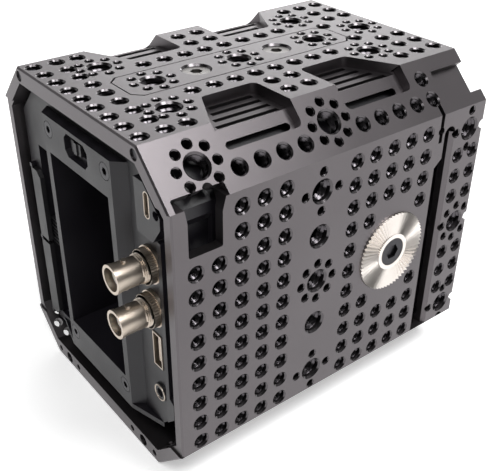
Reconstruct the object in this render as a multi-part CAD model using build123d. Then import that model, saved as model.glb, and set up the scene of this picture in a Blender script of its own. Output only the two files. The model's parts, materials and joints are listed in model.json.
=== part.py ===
from build123d import *
import os
from math import cos, radians, sin, sqrt

os.makedirs("parts", exist_ok=True)

# Camera cage with its camera module. An octagonal shell of bolted plates, drilled all over on a
# 9 mm grid, holds a box camera whose rear panel lies flush with the open rear end.
#
# Frame, in millimetres: +X is the side with the rosette, +Y looks out of the lens, +Z is up.
# The origin is the mouth of the central tripod hole in the underside of the base.
# Many places are easiest to give as a distance from the rear rim, so each working plane below
# has its first axis starting at that rim.

# ---------------------------------------------------------------- cage shell
cage_width = 114.0
cage_height = 132.0
corner_cut = 16.2            # width and height of each 45 degree corner
rear_y = -69.0               # rear rim
top_length = 141.3           # top plate, from the rim
base_length = 141.3
side_length = 118.2          # side plates, up to the gap before the front blocks
side_rear = 0.8              # the side plates start this far behind the rim
top_thickness = 6.0
side_thickness = 4.0
base_thickness = 7.0
corner_thickness = 5.0       # square to the sloping face
rim_bevel = 0.6

half_width = cage_width / 2
top_half = half_width - corner_cut
inner_half = half_width - side_thickness
inner_top = cage_height - top_thickness
upper_crease = cage_height - corner_cut
lower_crease = corner_cut
side_middle = cage_height / 2
slope_length = corner_cut * sqrt(2)
corner_reach = corner_thickness * sqrt(2)    # corner wall measured along X
wing_inner = half_width - corner_reach
roof_inner = top_half - corner_reach + top_thickness     # half width of the flat inner roof
floor_inner = top_half - corner_reach + base_thickness

# ---------------------------------------------------------------- holes
pitch = 9.0
quarter_radius = 3.175       # 1/4"-20
three_eighth_radius = 4.76   # 3/8"-16
pin_radius = 1.9             # locating pins round a 3/8" hole
pin_circle = 7.5
pins_all = range(0, 360, 45)
pins_square = range(0, 360, 90)

# ---------------------------------------------------------------- working planes
# First coordinate of the side and slope planes is the distance from the rear rim.
side_plane = Plane(origin=(half_width, rear_y, 0), x_dir=(0, 1, 0), z_dir=(1, 0, 0))
top_plane = Plane(origin=(0, rear_y, cage_height), x_dir=(1, 0, 0), z_dir=(0, 0, 1))
base_plane = Plane(origin=(0, rear_y, 0), x_dir=(-1, 0, 0), z_dir=(0, 0, -1))
slope_plane = Plane(origin=(top_half, rear_y, cage_height), x_dir=(0, 1, 0), z_dir=(1, 0, 1))
lower_slope_plane = Plane(origin=(half_width, rear_y, lower_crease), x_dir=(0, 1, 0), z_dir=(1, 0, -1))


def outline(*points):
    """Closed flat shape through its corner points."""
    return Polygon(*points, align=None)


def rectangle(left, right, low, high):
    """Upright rectangle between two pairs of edges."""
    return Pos((left + right) / 2, (low + high) / 2) * Rectangle(right - left, high - low)


def along_y(profile, start, end):
    """Extrude an X-Z profile between two distances from the rear rim."""
    return extrude(Plane.XZ.offset(-rear_y - start) * profile, end - start, dir=(0, 1, 0))


def into(plane, shape, depth):
    """Extrude a flat shape from a face into the wall behind it."""
    return extrude(plane * shape, depth, dir=-plane.z_dir)


def through(plane, shape, reach):
    """Extrude a flat shape to both sides of a face."""
    return extrude(plane * shape, reach, both=True)


def mirrored(shapes):
    """The same shapes on the other side of the centre plane."""
    return [mirror(shape, about=Plane.YZ) for shape in shapes]


def drills(plane, points, radius, depth):
    """Round cutters centred on a face, deep enough to pass through its wall."""
    return [plane * Pos(u, v) * Cylinder(radius, 2 * depth) for u, v in points]


def pin_points(centre, angles):
    """Places of the locating-pin holes round one 3/8" hole."""
    u, v = centre
    return [(u + pin_circle * cos(radians(a)), v + pin_circle * sin(radians(a))) for a in angles]


def accessory_hole(plane, centre, angles, depth):
    """One 3/8" hole with its ring of locating-pin holes."""
    cutters = drills(plane, [centre], three_eighth_radius, depth)
    return cutters + drills(plane, pin_points(centre, angles), pin_radius, depth)


def save(name, shape):
    """Write one node. A list is a group of equal, separate solids."""
    if isinstance(shape, list):
        shape = Compound(children=shape)
    export_step(shape, f"parts/{name}.step")


def cavity_outline(side, roof, floor):
    """Inner octagon of the cage, held off the walls, the roof and the floor."""
    diagonal = side * sqrt(2)
    half = inner_half - side
    high = inner_top - roof
    low = base_thickness + floor
    upper = roof_inner + inner_top - diagonal            # X plus Z along the upper corner
    lower = floor_inner - base_thickness - diagonal      # X less Z along the lower corner
    right = [(upper - high, high), (half, upper - half), (half, half - lower), (lower + low, low)]
    return outline(*right, *[(-x, z) for x, z in reversed(right)])


# Outer envelope of the cage, with its rear edge bevelled. Every plate is trimmed by it.
cage_outline = outline(
    (top_half, cage_height), (half_width, upper_crease), (half_width, lower_crease), (top_half, 0),
    (-top_half, 0), (-half_width, lower_crease), (-half_width, upper_crease), (-top_half, cage_height))
envelope = along_y(cage_outline, 0, cage_width + cage_height)
envelope = chamfer(envelope.faces().sort_by(Axis.Y)[0].edges(), rim_bevel)


# ---------------------------------------------------------------- shared cut-outs
# Cable notch at the rear of the right wall; it runs up through the crease into the slope.
notch_rear = 6.5
notch_front = 19.4
notch_height = 17.3
notch_flare_height = 4.8     # the notch widens over this height below the crease
slope_notch_rear = 2.6
slope_notch_front = 22.1
slope_notch_depth = 4.4      # up the slope from the crease
notch_corner = 0.8
notch_floor = upper_crease - notch_height
notch_flare = upper_crease - notch_flare_height

# Gap between side plate and front block, with a narrower arm that ends in a half round.
block_rear = 127.6
gap_neck = 121.8
gap_top_drop = 5.9           # from the crease
gap_step_drop = 18.3
gap_step_rise = 3.1
gap_top = upper_crease - gap_top_drop
gap_step_high = upper_crease - gap_step_drop
gap_step_low = gap_step_high - gap_step_rise
arm_radius = (block_rear - gap_neck) / 2
arm_centre = gap_top - arm_radius

# Slit that runs from the last slope hole across the crease to a round relief.
slit_place = 119.6
slit_width = 1.8
slit_drop = 11.3             # from the crease to the slit's end
slit_relief_drop = 6.6
slit_relief_radius = 1.6
slit_end = upper_crease - slit_drop
slit_relief_height = upper_crease - slit_relief_drop


def side_notch():
    """Cutter for the cable notch in the side wall."""
    shape = outline(
        (notch_rear, notch_flare), (notch_rear, notch_floor), (notch_front, notch_floor),
        (notch_front, notch_flare), (notch_front + 1.6, upper_crease + 1),
        (notch_rear - 1.1, upper_crease + 1))
    corners = shape.vertices().sort_by(Axis.Y)[0:2]
    return through(side_plane, fillet(corners, notch_corner), 3 * side_thickness)


def slope_notch():
    """Cutter for the part of the cable notch that lies in the slope."""
    high = -(slope_length - slope_notch_depth)
    shape = rectangle(slope_notch_rear, slope_notch_front, -slope_length - side_thickness, high)
    corners = shape.vertices().sort_by(Axis.Y)[2:4]
    return through(slope_plane, fillet(corners, notch_corner), 2 * corner_thickness)


def side_gap():
    """Cutter for the open gap in front of the side plate."""
    middle = gap_neck + arm_radius
    shape = outline(
        (side_length, 0), (side_length, gap_step_low), (gap_neck, gap_step_high),
        (gap_neck, arm_centre), (block_rear, arm_centre), (block_rear, 0))
    shape += Pos(middle, arm_centre) * Circle(arm_radius)
    return through(side_plane, shape, 3 * side_thickness)


def side_slit():
    """Cutter for the slit in the side wall, with its round relief."""
    left = slit_place - slit_width / 2
    shape = rectangle(left, left + slit_width, slit_end, upper_crease)
    shape += Pos(slit_place, slit_relief_height) * Circle(slit_relief_radius)
    return through(side_plane, shape, 3 * side_thickness)


# ---------------------------------------------------------------- top plate
# Rows across the rear end and down both sides, then loose holes at the front.
hole_wall = 1.0              # least wall between a hole and the crease
row_half_count = int((top_half - quarter_radius - hole_wall) / pitch)
rear_rows = [4.5, 13.5]
side_column = 15.5
side_column_start = 37.6
side_column_count = 8
outer_columns = [24.6, 33.7]
outer_column_rows = [64.6, 73.6]
front_columns = [15.6, 24.5, 33.9]
front_rows = [119.3, 128.2, 137.2]
insert_corner_hole = (9.1, 119.5)
rear_corner_edge = 4.8       # centre of the rear corner hole from the crease
rear_corner_row = 21.7
top_accessories = [(22.7, 23.5), (-22.7, 23.5), (22.7, 113.6), (-22.7, 113.6), (0, 131.0)]

# Insert plate let into the top
insert_half = 10.0
insert_rear = 19.0
insert_front = 118.0
insert_corner = 3.4
insert_thickness = 3.0
insert_clearance = 0.1
insert_accessories = [31.7, 69.0, 106.0]
insert_screw_places = [50.0, 87.0]
insert_head_radius = 5.25
insert_head_height = 2.0
insert_head_recess = 5.75
insert_shank_radius = 3.0
insert_shank_hole = 3.1

# Vent windows, equal on both sides of the cage's middle
window_middle = 69.0
window_near = 10.1           # from the middle to the straight end
window_far = 42.0            # from the middle to the far end at the slope
window_slant = 32.4          # from the middle to where the slanted end starts
window_inner = 22.0
window_depth = 4.0
window_corner = 2.5
window_drop = 10.0           # down the slope
slat_slot_width = 2.1
slat_slot_step = 4.6
slat_slot_edge = 2.0         # first slot's centre from the window's inner edge
slat_slot_count = int((top_half - window_inner - 1.5 * slat_slot_edge) / slat_slot_step) + 1
slat_slot_margin = 2.6       # bar left between a slot's end and the window's wall
slope_slot_width = 2.8
slope_slot_drop = 7.6
slope_slot_near = 11.9
slope_slot_far = 38.2

# Holes in the sloping corners
slope_accessories = [16.1, 69.5]
slope_quarter_edge = 7.0     # from the crease
slope_quarter_rows = [29.6, 38.6, 47.6, 56.6, 82.6, 91.6, 100.6, 109.6, 118.3]
slope_single = (117.6, -7.4)

# Recess at the front of each slope
front_recess_start = 123.4
front_recess_upper = 5.9
front_recess_lower = 18.2
front_recess_depth = 3.5

# Recessed screws in the rear face
corner_screw_x = top_half - 1.3
corner_screw_z = cage_height - 3.3
corner_screw_radius = 1.9
corner_screw_length = 8.0
corner_screw_sunk = 0.6
corner_screw_hole = 2.0


def window_cutters(direction):
    """One vent window: a pocket that follows top and slope, and the slots in its floor."""
    def place(distance):
        return window_middle + direction * distance

    top_shape = outline(
        (window_inner, place(window_near)), (half_width, place(window_near)),
        (half_width, place(window_far)), (top_half, place(window_far)), (window_inner, place(window_slant)))
    corners = top_shape.vertices().sort_by(Axis.X)[0:2]
    pocket = into(top_plane, fillet(corners, window_corner), window_depth)

    ends = sorted([place(window_near), place(window_far)])
    slope_shape = rectangle(ends[0], ends[1], -window_drop, 0)
    corners = slope_shape.vertices().sort_by(Axis.Y)[0:2]
    drop = into(slope_plane, fillet(corners, window_corner), window_depth)

    cutters = [pocket, drop]
    slant = (window_far - window_slant) / (top_half - window_inner)
    for number in range(slat_slot_count):
        x = window_inner + slat_slot_edge + number * slat_slot_step
        far = window_slant + slant * (x - window_inner) - slat_slot_margin
        near = window_near + slat_slot_margin
        middle = place((near + far) / 2)
        slot = Pos(x, middle) * Rectangle(slat_slot_width, far - near)
        cutters.append(into(top_plane, slot, 2 * top_thickness))
    length = slope_slot_far - slope_slot_near
    middle = place((slope_slot_far + slope_slot_near) / 2)
    slot = Pos(middle, -slope_slot_drop) * SlotOverall(length, slope_slot_width)
    cutters.append(into(slope_plane, slot, 2 * corner_thickness))
    return cutters


def slope_cutters():
    """Holes and front recess of the right-hand slope."""
    cutters = []
    for place in slope_accessories:
        cutters += accessory_hole(slope_plane, (place, -slope_length / 2), pins_all, corner_thickness + 1)
    row = -(slope_length - slope_quarter_edge)
    points = [(place, row) for place in slope_quarter_rows] + [slope_single]
    cutters += drills(slope_plane, points, quarter_radius, corner_thickness + 1)
    recess = rectangle(front_recess_start, top_length + 1, -front_recess_lower, -front_recess_upper)
    cutters.append(into(slope_plane, recess, front_recess_depth))
    beside_block = rectangle(block_rear, top_length + 1, -2 * slope_length, -front_recess_lower)
    cutters.append(through(slope_plane, beside_block, 2 * corner_thickness))
    slit = rectangle(slit_place - slit_width / 2, slit_place + slit_width / 2, -2 * slope_length, row)
    cutters.append(through(slope_plane, slit, 2 * corner_thickness))
    return cutters


def top_quarter_points():
    """All 1/4" holes in the flat top."""
    across = [number * pitch for number in range(-row_half_count, row_half_count + 1)]
    points = [(x, row) for row in rear_rows for x in across]
    right = [insert_corner_hole]
    right += [(side_column, side_column_start + number * pitch) for number in range(side_column_count)]
    right += [(x, row) for x in outer_columns for row in outer_column_rows]
    right += [(x, row) for x in front_columns for row in front_rows[1:]]
    right.append((front_columns[-1], front_rows[0]))
    right = [(x, row) for x, row in right if x + quarter_radius + hole_wall < top_half]
    right.append((top_half - rear_corner_edge, rear_corner_row))
    return points + right + [(-x, row) for x, row in right]


def insert_outline(clearance):
    """Long plate outline with cut corners."""
    half = insert_half + clearance
    rear = insert_rear - clearance
    front = insert_front + clearance
    cut = insert_corner
    return outline(
        (half, rear + cut), (half, front - cut), (half - cut, front), (cut - half, front),
        (-half, front - cut), (-half, rear + cut), (cut - half, rear), (half - cut, rear))


def insert_cutters():
    """Holes that pass through the insert plate and the top plate below it."""
    cutters = []
    for place in insert_accessories:
        cutters += accessory_hole(top_plane, (0, place), pins_all, top_thickness + 1)
    screws = [(0, place) for place in insert_screw_places]
    return cutters + drills(top_plane, screws, insert_shank_hole, top_thickness + 1)


def corner_screw_places():
    """Points of the screws in the rear rim, seen along +Y."""
    return [(corner_screw_x, corner_screw_z), (-corner_screw_x, corner_screw_z)]


def make_top_plate():
    profile = outline(
        (top_half, cage_height), (half_width, upper_crease), (half_width - corner_reach, upper_crease),
        (half_width + upper_crease - corner_reach - inner_top, inner_top),
        (inner_top + corner_reach - half_width - upper_crease, inner_top),
        (corner_reach - half_width, upper_crease), (-half_width, upper_crease), (-top_half, cage_height))
    plate = along_y(profile, 0, top_length) & envelope
    cutters = [into(top_plane, insert_outline(insert_clearance), insert_thickness)]
    cutters += insert_cutters()
    cutters += drills(top_plane, top_quarter_points(), quarter_radius, top_thickness + 1)
    for centre in top_accessories:
        cutters += accessory_hole(top_plane, centre, pins_all, top_thickness + 1)
    right = window_cutters(1) + window_cutters(-1) + slope_cutters()
    cutters += right + mirrored(right) + [slope_notch()]
    for x, z in corner_screw_places():
        hole = Cylinder(corner_screw_hole, 2 * corner_screw_length)
        cutters.append(Pos(x, rear_y, z) * Rot(90, 0, 0) * hole)
    return plate - cutters


def make_insert_plate():
    plate = into(top_plane, insert_outline(0), insert_thickness)
    recesses = drills(top_plane, [(0, place) for place in insert_screw_places],
                      insert_head_recess, insert_head_height)
    return plate - (insert_cutters() + recesses + drills(top_plane, top_quarter_points(),
                                                         quarter_radius, top_thickness))


def socket_screw(head_radius, head_height, shank_radius, length, socket_width, socket_depth):
    """Socket screw along -Z with the top of its head at the origin."""
    screw = Pos(0, 0, -head_height / 2) * Cylinder(head_radius, head_height)
    screw += Pos(0, 0, -length / 2) * Cylinder(shank_radius, length)
    socket = RegularPolygon(socket_width / 2, 6, major_radius=False)
    return screw - into(Plane.XY, socket, socket_depth)


insert_screw_length = 11.0
insert_socket = 4.0


def make_insert_screws():
    screw = socket_screw(insert_head_radius, insert_head_height, insert_shank_radius,
                         insert_screw_length, insert_socket, insert_head_height - 0.4)
    return [top_plane * Pos(0, place) * screw for place in insert_screw_places]


def make_corner_screws():
    pin = Cylinder(corner_screw_radius, corner_screw_length - corner_screw_sunk,
                   align=(Align.CENTER, Align.CENTER, Align.MAX))
    return [Pos(x, rear_y + corner_screw_sunk, z) * Rot(90, 0, 0) * pin for x, z in corner_screw_places()]


# ---------------------------------------------------------------- side plates
row_edge = 3.8               # first row's centre from the lower crease
first_row = lower_crease + row_edge
row_count = int((upper_crease - first_row - row_edge) / pitch) + 1
rear_columns = [9.0, 18.0, 27.0, 36.0, 45.0]
front_columns_side = [76.5, 85.5, 94.5, 103.5, 112.5]
accessory_column = 60.75
accessory_offsets = [(37.8, pins_square), (20.1, []), (1.3, pins_all), (-17.5, []),
                     (-40.2, pins_square)]   # 3/8" holes, from the middle of the plate
accessory_rows = [(side_middle + offset, angles) for offset, angles in accessory_offsets]

rosette_column = 99.0
rosette_drop = 1.0           # below the middle of the plate
rosette_place = (rosette_column, side_middle - rosette_drop)
rosette_radius = 16.25
rosette_height = 3.2
rosette_proud = 1.0
rosette_clearance = 0.1
rosette_hole_margin = 4.2    # no grid hole's centre comes closer to the rosette's edge


def clear_of_rosette(point):
    u, v = point
    away = sqrt((u - rosette_place[0]) ** 2 + (v - rosette_place[1]) ** 2)
    return away > rosette_radius + rosette_hole_margin


def clear_of_notch(point):
    u, v = point
    return u > notch_front + quarter_radius or v < notch_floor - quarter_radius


def grid_points():
    """The whole 9 mm grid of one side plate."""
    rows = [first_row + number * pitch for number in range(row_count)]
    return [(column, row) for column in rear_columns + front_columns_side for row in rows]


def make_side_plate(points):
    """Right-hand side plate, with the given 1/4" holes."""
    profile = outline(
        (half_width, lower_crease), (half_width, upper_crease), (half_width - corner_reach, upper_crease),
        (inner_half, upper_crease + side_thickness - corner_reach),
        (inner_half, lower_crease - side_thickness + corner_reach), (half_width - corner_reach, lower_crease))
    plate = along_y(profile, side_rear, block_rear) & Pos(0, side_rear, 0) * envelope
    cutters = [side_gap(), side_slit()]
    cutters += drills(side_plane, points, quarter_radius, corner_reach)
    for height, angles in accessory_rows:
        cutters += accessory_hole(side_plane, (accessory_column, height), angles, corner_reach)
    return plate - cutters


def make_side_plate_right():
    points = [point for point in grid_points() if clear_of_rosette(point) and clear_of_notch(point)]
    plate = make_side_plate(points)
    u, v = rosette_place
    seat = side_plane * Pos(u, v) * Cylinder(rosette_radius + rosette_clearance,
                                             2 * (rosette_height - rosette_proud))
    screw_hole = side_plane * Pos(u, v) * Cylinder(rosette_shank_radius, 3 * side_thickness)
    return plate - [side_notch(), seat, screw_hole]


def make_side_plate_left():
    return mirror(make_side_plate(grid_points()), about=Plane.YZ)


# ---------------------------------------------------------------- rosette
tooth_count = 60
tooth_depth = 0.9            # at the outer edge
tooth_inner_radius = 7.5
rosette_hub_radius = 5.85
rosette_hub_depth = 1.6
rosette_shank_radius = 3.1
rosette_head_radius = 5.75
rosette_head_height = 1.5
rosette_screw_length = 4.6
rosette_socket = 5.5


def make_rosette():
    """Toothed disc: radial V grooves cut into the face of a plain disc."""
    disc = Cylinder(rosette_radius, rosette_height, align=(Align.CENTER, Align.CENTER, Align.MAX))
    reach = rosette_radius + 0.5
    half_angle = radians(180 / tooth_count)
    half_out = half_angle * reach
    half_in = half_angle * tooth_inner_radius
    depth_in = tooth_depth * tooth_inner_radius / rosette_radius
    depth_out = tooth_depth * reach / rosette_radius
    inner = Plane(origin=(tooth_inner_radius, 0, 0), x_dir=(0, 1, 0), z_dir=(1, 0, 0))
    outer = Plane(origin=(reach, 0, 0), x_dir=(0, 1, 0), z_dir=(1, 0, 0))
    groove = loft([inner * outline((-half_in, 0), (half_in, 0), (0, -depth_in)),
                   outer * outline((-half_out, 0), (half_out, 0), (0, -depth_out))])
    grooves = [Rot(0, 0, number * 360 / tooth_count) * groove for number in range(tooth_count)]
    hub = Cylinder(rosette_hub_radius, 2 * rosette_hub_depth)
    bore = Cylinder(rosette_shank_radius, 3 * rosette_height)
    u, v = rosette_place
    return side_plane * Pos(u, v, rosette_proud) * (disc - (grooves + [hub, bore]))


def make_rosette_screw():
    screw = socket_screw(rosette_head_radius, rosette_head_height, rosette_shank_radius - 0.1,
                         rosette_screw_length, rosette_socket, rosette_head_height - 0.3)
    u, v = rosette_place
    return side_plane * Pos(u, v, rosette_proud - rosette_hub_depth + rosette_head_height) * screw


# ---------------------------------------------------------------- base plate
base_column_start = 15.5
base_column_count = int((top_half - base_column_start - quarter_radius - hole_wall) / pitch) + 1
base_columns = [base_column_start + number * pitch for number in range(base_column_count)]
base_row_spacing = 2 * pitch
base_row_half_count = 3
base_accessory_spacing = 36.0
lower_slope_accessories = [10.7, 69.0, 123.0]
lower_slope_quarter_rows = [27.0, 36.0, 45.0, 54.0, 84.0, 93.0, 102.0, 111.0]

# Groups of three holes in the rear face of the base
rim_group_x = top_half - 10.6
rim_group_spacing = 8.0
rim_hole_radius = 2.4
rim_small_radius = 1.3
rim_hole_depth = 6.0


def base_point(x, y):
    """A point of the underside in the base plane's own coordinates."""
    return (-x, y - rear_y)


def make_base_plate():
    right = [(half_width, lower_crease), (top_half, 0)]
    left_inner = [(-wing_inner, lower_crease), (-floor_inner, base_thickness)]
    profile = outline(
        *right, *[(-x, z) for x, z in reversed(right)],
        *left_inner, *[(-x, z) for x, z in reversed(left_inner)])
    plate = along_y(profile, 0, base_length) & envelope
    cutters = []
    for y in [-base_accessory_spacing, 0, base_accessory_spacing]:
        cutters += accessory_hole(base_plane, base_point(0, y), pins_all, base_thickness + 1)
    rows = [number * base_row_spacing for number in range(-base_row_half_count, base_row_half_count + 1)]
    points = [base_point(side * x, y) for side in (-1, 1) for x in base_columns for y in rows]
    cutters += drills(base_plane, points, quarter_radius, base_thickness + 1)
    slope = []
    for place in lower_slope_accessories:
        slope += accessory_hole(lower_slope_plane, (place, -slope_length / 2), pins_all,
                                corner_thickness + 1)
    points = [(place, -slope_quarter_edge) for place in lower_slope_quarter_rows]
    slope += drills(lower_slope_plane, points, quarter_radius, corner_thickness + 1)
    cutters += slope + mirrored(slope)
    for side in (-1, 1):
        for step, radius in ((-1, rim_small_radius), (0, rim_hole_radius), (1, rim_small_radius)):
            x = side * rim_group_x + step * rim_group_spacing
            cutters.append(Pos(x, rear_y, base_thickness / 2) * Rot(90, 0, 0)
                           * Cylinder(radius, 2 * rim_hole_depth))
    return plate - cutters


# ---------------------------------------------------------------- front frame
frame_front = 143.9
block_wall = 4.6
block_bevel = 1.5            # rear edge of the block, in the gap
front_ring_rear = 136.3
lens_centre_z = (base_thickness + inner_top) / 2
lens_opening_radius = 42.0
block_drill_depth = 7.0
block_accessory_column = 136.3
block_upper_drop = 9.9               # 3/8" holes, from the creases and the middle
block_middle_drop = 1.3
block_lower_rise = 7.3
block_upper = upper_crease - block_upper_drop
block_middle = side_middle - block_middle_drop
block_lower = lower_crease + block_lower_rise
block_columns = [131.7, 140.4]
block_row_start = 10.0               # first 1/4" row from the outer 3/8" hole
block_row_clear = 13.0               # rows keep this far from the middle hole


def block_rows():
    """Heights of the 1/4" holes, counted from the outer 3/8" holes towards the middle one."""
    count = int((block_upper - block_middle) / pitch) + 1
    rows = [block_upper - block_row_start - number * pitch for number in range(count)]
    rows += [block_lower + block_row_start + number * pitch for number in range(count)]
    return [row for row in rows if abs(row - block_middle) >= block_row_clear]


def make_front_frame():
    """Front ring inside the shell, with a thick block on each side."""
    frame = along_y(cavity_outline(0, 0, 0), front_ring_rear, frame_front)
    ridge_x = top_half + front_recess_lower / sqrt(2)
    ridge_z = cage_height - front_recess_lower / sqrt(2)
    block_inner = half_width - block_wall
    ridge_inner = ridge_x - (ridge_z - upper_crease)
    block = outline(
        (half_width, lower_crease), (half_width, upper_crease), (ridge_x, ridge_z),
        (ridge_inner, upper_crease), (block_inner, upper_crease - ridge_inner + block_inner - 1),
        (block_inner, lower_crease))
    block = along_y(block, block_rear, frame_front)
    rear = rear_y + block_rear
    plan = outline(
        (half_width, rear), (half_width - block_bevel, rear - block_bevel), (block_inner, rear - block_bevel),
        (block_inner, rear))
    block += extrude(Plane.XY.offset(lower_crease) * plan, arm_centre - lower_crease, dir=(0, 0, 1))
    cutters = []
    rings = [(block_upper, pins_square), (block_middle, pins_all), (block_lower, pins_square)]
    for height, angles in rings:
        cutters += accessory_hole(side_plane, (block_accessory_column, height), angles, block_drill_depth)
    points = [(column, row) for column in block_columns for row in block_rows()]
    cutters += drills(side_plane, points, quarter_radius, block_drill_depth)
    frame = frame + [block, mirror(block, about=Plane.YZ)]
    opening = Pos(0, rear_y + frame_front, lens_centre_z) * Rot(90, 0, 0)
    opening *= Cylinder(lens_opening_radius, 4 * (frame_front - front_ring_rear))
    return frame - (cutters + mirrored(cutters) + [opening])


# ---------------------------------------------------------------- camera body
# The camera stands on the base and keeps a small gap to the walls and the roof. Places on its
# rear follow the sides and the top of the housing, so they move with the size of the cage.
roof_gap = 1.5
wall_gap = 2.6
camera_rear = 4.2            # rear wall of the body, from the rim
camera_front = 130.0
camera_half = inner_half - wall_gap
camera_top = inner_top - roof_gap

panel_edge = 22.4            # side of the panel's foot, from the side of the housing
panel_side_slope = 4.1       # the panel's sides slope in towards the rear
panel_rise = 10.8            # lower end, above the base
panel_drop = 4.2             # upper end, below the top of the housing
panel_foot_half = camera_half - panel_edge
panel_half = panel_foot_half - panel_side_slope
panel_low = base_thickness + panel_rise
panel_high = camera_top - panel_drop
panel_rim = 3.15             # panel beside the battery well
panel_rim_low = 11.8
panel_rim_high = 14.4
panel_screw_edge = 4.0       # screw's centre from the side of the panel
panel_screw_low = 6.7        # from the lower end of the panel
panel_screw_high = 5.2       # from its upper end
panel_screw_radius = 3.0
panel_screw_depth = 2.0
panel_screw_recess = 3.2
panel_screw_socket = 2.5
panel_shank_radius = 1.5
panel_shank_reach = 5.0      # into the housing

well_half = panel_half - panel_rim   # battery well
well_low = panel_low + panel_rim_low
well_high = panel_high - panel_rim_high
well_floor = 44.0

# Connector side, to the right of the panel
rim_step = 1.0               # raised block above the connectors, from the rim
lip_step = 2.2               # lower lip between the connectors and the wall
port_well_rise = 4.2         # lower end of the connectors' well, above the panel's lower end
port_well_drop = 19.3        # upper end, below the panel's upper end
lip_width = 4.5
block_width = 13.9           # raised block
port_well_low = panel_low + port_well_rise
port_well_high = panel_high - port_well_drop
port_lip = camera_half - lip_width
port_upper_left = camera_half - block_width
rim_corner = 4.6             # slanted lower corner of the raised block
rim_corner_rise = 6.5
cut_back_width = 2.4         # clearance cut along the wall
cut_back_rise = 30.0         # lower end, above the base
cut_back_length = 20.0
cut_back_half = camera_half - cut_back_width
cut_back_low = base_thickness + cut_back_rise
corner_step = 8.3            # the corner below the connectors is cut this much deeper
corner_length = 24.0

# Door bay, to the left of the panel
bay_edge = 9.4               # from the side of the housing
bay_rise = 2.2               # above the panel's lower end
bay_drop = 20.3              # below its upper end
bay_floor = 9.0
bay_outer = camera_half - bay_edge
bay_low = panel_low + bay_rise
bay_high = panel_high - bay_drop

foot_reach = 14.0            # undercut below the panel, from the rim
foot_flat = 2.0
ledge_height = 2.2           # ledge that carries the panel
ledge_edge = 10.7            # end of the ledge, from the side of the housing
ledge_half = camera_half - ledge_edge
boss_radius = 8.0
socket_radius = 5.4          # camera's own tripod socket above the cage's hole
socket_depth = 9.0
throat_radius = 24.0
throat_floor = 96.0


def round_bore(x, z, radius, start, end):
    """Round bar or cutter along Y between two distances from the rim."""
    return along_y(Pos(x, z) * Circle(radius), start, end)


def connector_rim():
    """Raised block above the connectors and the lower lip beside them."""
    block = outline(
        (port_upper_left, port_well_high), (camera_half - rim_corner, port_well_high),
        (camera_half, port_well_high + rim_corner_rise), (camera_half, panel_high),
        (port_upper_left, panel_high))
    lip = rectangle(port_lip, camera_half, port_well_low, port_well_high)
    return along_y(block, rim_step, camera_rear) + along_y(lip, lip_step, camera_rear)


def panel_ledge():
    """Ledge under the rear panel; its front edge slants back below the connectors and the doors."""
    plan = outline(
        (-panel_half, rear_y), (panel_half, rear_y), (ledge_half, rear_y + camera_rear),
        (-ledge_half, rear_y + camera_rear))
    return extrude(Plane.XY.offset(panel_low - ledge_height) * plan, ledge_height, dir=(0, 0, 1))


def hinge_lugs():
    """Small blocks at both ends of each door that hold the hinge pin."""
    lugs = []
    for low, high in hinge_lug_heights:
        lug = rectangle(hinge_x - hinge_lug_half, hinge_x + hinge_lug_half, low, high)
        lugs.append(along_y(lug, hinge_place - hinge_lug_half, camera_rear))
    return lugs


def insert_screw_bores():
    """Blind holes in the roof of the housing for the screws of the insert plate."""
    return [Pos(0, rear_y + place, inner_top) * Cylinder(insert_shank_hole, 2 * insert_screw_length)
            for place in insert_screw_places]


def housing(start, end):
    """Stretch of the camera's housing between two distances from the rim."""
    return along_y(cavity_outline(wall_gap, roof_gap, 0), start, end)


def make_rear_housing():
    """Rear part of the housing: walls of the battery well, connector side and door bay."""
    body = housing(camera_rear, well_floor)
    body += connector_rim() & housing(0, well_floor)
    body += hinge_lugs()
    reach = camera_half + 1
    slant = rim_corner_rise / rim_corner
    cut_back_high = port_well_high + (rim_corner - cut_back_width) * slant
    cut_back = outline(
        (cut_back_half, cut_back_low), (reach, cut_back_low - 2),
        (reach, cut_back_high + (reach - cut_back_half) * slant), (cut_back_half, cut_back_high))
    lower = floor_inner - base_thickness - wall_gap * sqrt(2) - corner_step
    corner = outline(
        (lower + base_thickness, base_thickness), (reach, reach - lower), (reach, base_thickness))
    foot = through(Plane.YZ, outline(
        (rear_y, 0), (rear_y + foot_reach, 0), (rear_y + foot_reach, base_thickness + foot_flat),
        (rear_y + camera_rear, panel_low - ledge_height), (rear_y, panel_low - ledge_height)), cage_width)
    cutters = [
        along_y(rectangle(-well_half, well_half, well_low, well_high), 0, well_floor + 1),
        along_y(cut_back, 0, cut_back_length),
        along_y(corner, 0, corner_length),
        along_y(rectangle(-bay_outer, -panel_foot_half, bay_low, bay_high), 0, bay_floor),
        foot,
        round_bore(audio_x, audio_z, audio_bore_radius, camera_rear - 1, camera_rear + port_depth),
        round_bore(lock_hole_x, lock_hole_z, lock_hole_radius, 0, port_depth),
        along_y(rectangle(video_left, video_left + video_width, video_low, video_low + video_height),
                camera_rear - 1, camera_rear + port_depth),
        along_y(Pos(data_x, data_z) * SlotOverall(data_height, data_width, rotation=90), 0,
                rim_step + port_depth),
        hinge_pin_shape(),
    ]
    for x, z in jack_places():
        cutters.append(round_bore(x, z, jack_barrel_radius, camera_rear - 1, camera_rear + jack_tail))
    for x, z in panel_screw_points():
        cutters.append(round_bore(x, z, panel_shank_radius, 0, camera_rear + panel_shank_reach))
    return body - cutters + panel_ledge()


def make_camera_body():
    """Middle of the housing, between the battery well and the lens throat."""
    body = housing(well_floor, throat_floor)
    for place in insert_screw_places:
        body += Pos(0, rear_y + place, inner_top - roof_gap / 2) * Cylinder(boss_radius, roof_gap)
    socket = Pos(0, 0, base_thickness) * Cylinder(socket_radius, 2 * socket_depth)
    return body - (insert_screw_bores() + [socket])


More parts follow.
